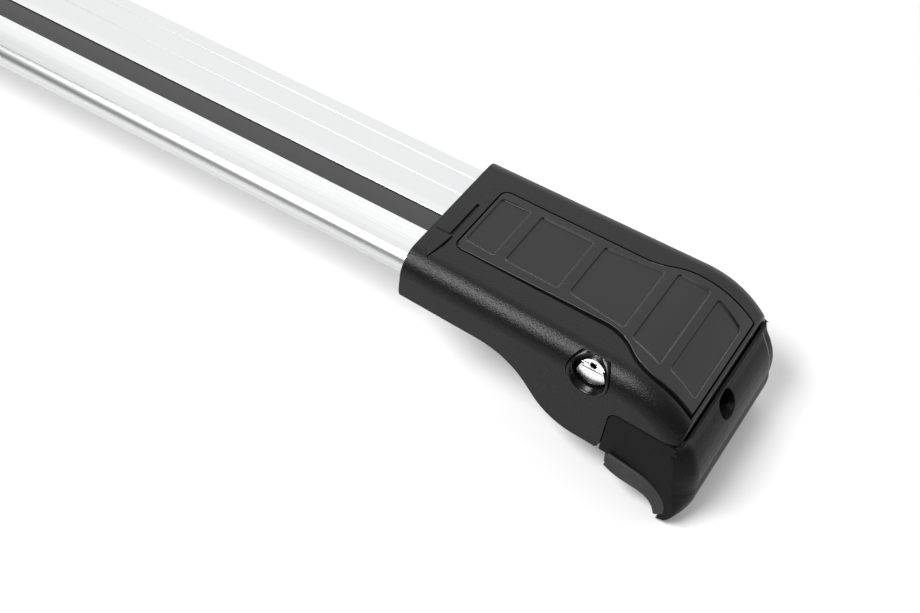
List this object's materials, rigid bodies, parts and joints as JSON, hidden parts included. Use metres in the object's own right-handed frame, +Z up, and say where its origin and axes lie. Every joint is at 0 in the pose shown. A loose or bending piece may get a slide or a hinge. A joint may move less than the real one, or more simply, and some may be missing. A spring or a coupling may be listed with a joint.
{
  "type": "roof cross bars",
  "caption": "Pair of aero roof cross bars with slotted aluminium wings and moulded feet that clamp raised roof rails with a lockable sliding jaw.",
  "frame": {"origin": "middle of the pair, on the ground that the jaws' hooks stand on", "axes": "+X along the bars, to the left side of the car; +Y to the rear of the car; +Z up"},
  "size_m": [1.1056, 0.4616, 0.0761],
  "materials": {
    "bar_aluminium": "satin anodised",
    "housing_plastic": "fine grain",
    "cover_plastic": "smooth satin",
    "rubber": "matt",
    "chrome": "polished plating",
    "steel": "zinc plated"
  },
  "bodies": {
    "root": {"front_bar": "bar_aluminium", "front_slot_strip": "rubber", "front_left_foot_housing": "housing_plastic", "front_left_top_cover": "cover_plastic", "front_left_clamp_nut": "steel", "front_right_foot_housing": "housing_plastic", "front_right_top_cover": "cover_plastic", "front_right_clamp_nut": "steel", "rear_bar": "bar_aluminium", "rear_slot_strip": "rubber", "rear_left_foot_housing": "housing_plastic", "rear_left_top_cover": "cover_plastic", "rear_left_clamp_nut": "steel", "rear_right_foot_housing": "housing_plastic", "rear_right_top_cover": "cover_plastic", "rear_right_clamp_nut": "steel"},
    "front_left_jaw": {"front_left_clamp_jaw": "housing_plastic", "front_left_rail_pad": "rubber"},
    "front_left_bolt": {"front_left_clamp_bolt": "steel"},
    "front_left_lock": {"front_left_lock_plug": "chrome", "front_left_lock_cam": "steel"},
    "front_right_jaw": {"front_right_clamp_jaw": "housing_plastic", "front_right_rail_pad": "rubber"},
    "front_right_bolt": {"front_right_clamp_bolt": "steel"},
    "front_right_lock": {"front_right_lock_plug": "chrome", "front_right_lock_cam": "steel"},
    "rear_left_jaw": {"rear_left_clamp_jaw": "housing_plastic", "rear_left_rail_pad": "rubber"},
    "rear_left_bolt": {"rear_left_clamp_bolt": "steel"},
    "rear_left_lock": {"rear_left_lock_plug": "chrome", "rear_left_lock_cam": "steel"},
    "rear_right_jaw": {"rear_right_clamp_jaw": "housing_plastic", "rear_right_rail_pad": "rubber"},
    "rear_right_bolt": {"rear_right_clamp_bolt": "steel"},
    "rear_right_lock": {"rear_right_lock_plug": "chrome", "rear_right_lock_cam": "steel"}
  },
  "joints": [
    {"name": "front_left_jaw_slide", "type": "slide", "parent": "root", "child": "front_left_jaw", "axis": [1, 0, 0], "range_m": [0, 0.006]},
    {"name": "front_left_bolt_turn", "type": "hinge", "parent": "front_left_jaw", "child": "front_left_bolt", "pos_m": [0.518, -0.184, 0.046], "axis": [1, 0, 0], "range_deg": [0, 2161]},
    {"name": "front_left_lock_turn", "type": "hinge", "parent": "root", "child": "front_left_lock", "pos_m": [0.4916, -0.21, 0.066], "axis": [0, 1, 0], "range_deg": [0, 90]},
    {"name": "front_right_jaw_slide", "type": "slide", "parent": "root", "child": "front_right_jaw", "axis": [-1, 0, 0], "range_m": [0, 0.006]},
    {"name": "front_right_bolt_turn", "type": "hinge", "parent": "front_right_jaw", "child": "front_right_bolt", "pos_m": [-0.518, -0.184, 0.046], "axis": [-1, 0, 0], "range_deg": [0, 2161]},
    {"name": "front_right_lock_turn", "type": "hinge", "parent": "root", "child": "front_right_lock", "pos_m": [-0.4916, -0.21, 0.066], "axis": [0, -1, 0], "range_deg": [0, 90]},
    {"name": "rear_left_jaw_slide", "type": "slide", "parent": "root", "child": "rear_left_jaw", "axis": [1, 0, 0], "range_m": [0, 0.006]},
    {"name": "rear_left_bolt_turn", "type": "hinge", "parent": "rear_left_jaw", "child": "rear_left_bolt", "pos_m": [0.518, 0.176, 0.046], "axis": [1, 0, 0], "range_deg": [0, 2161]},
    {"name": "rear_left_lock_turn", "type": "hinge", "parent": "root", "child": "rear_left_lock", "pos_m": [0.4916, 0.15, 0.066], "axis": [0, 1, 0], "range_deg": [0, 90]},
    {"name": "rear_right_jaw_slide", "type": "slide", "parent": "root", "child": "rear_right_jaw", "axis": [-1, 0, 0], "range_m": [0, 0.006]},
    {"name": "rear_right_bolt_turn", "type": "hinge", "parent": "rear_right_jaw", "child": "rear_right_bolt", "pos_m": [-0.518, 0.176, 0.046], "axis": [-1, 0, 0], "range_deg": [0, 2161]},
    {"name": "rear_right_lock_turn", "type": "hinge", "parent": "root", "child": "rear_right_lock", "pos_m": [-0.4916, 0.15, 0.066], "axis": [0, -1, 0], "range_deg": [0, 90]}
  ],
  "couplings": [
    {"joint": "front_left_bolt_turn", "follows": "front_left_jaw_slide", "rad_per_m": 6283.2},
    {"joint": "front_right_bolt_turn", "follows": "front_right_jaw_slide", "rad_per_m": 6283.2},
    {"joint": "rear_left_bolt_turn", "follows": "rear_left_jaw_slide", "rad_per_m": 6283.2},
    {"joint": "rear_right_bolt_turn", "follows": "rear_right_jaw_slide", "rad_per_m": 6283.2}
  ]
}
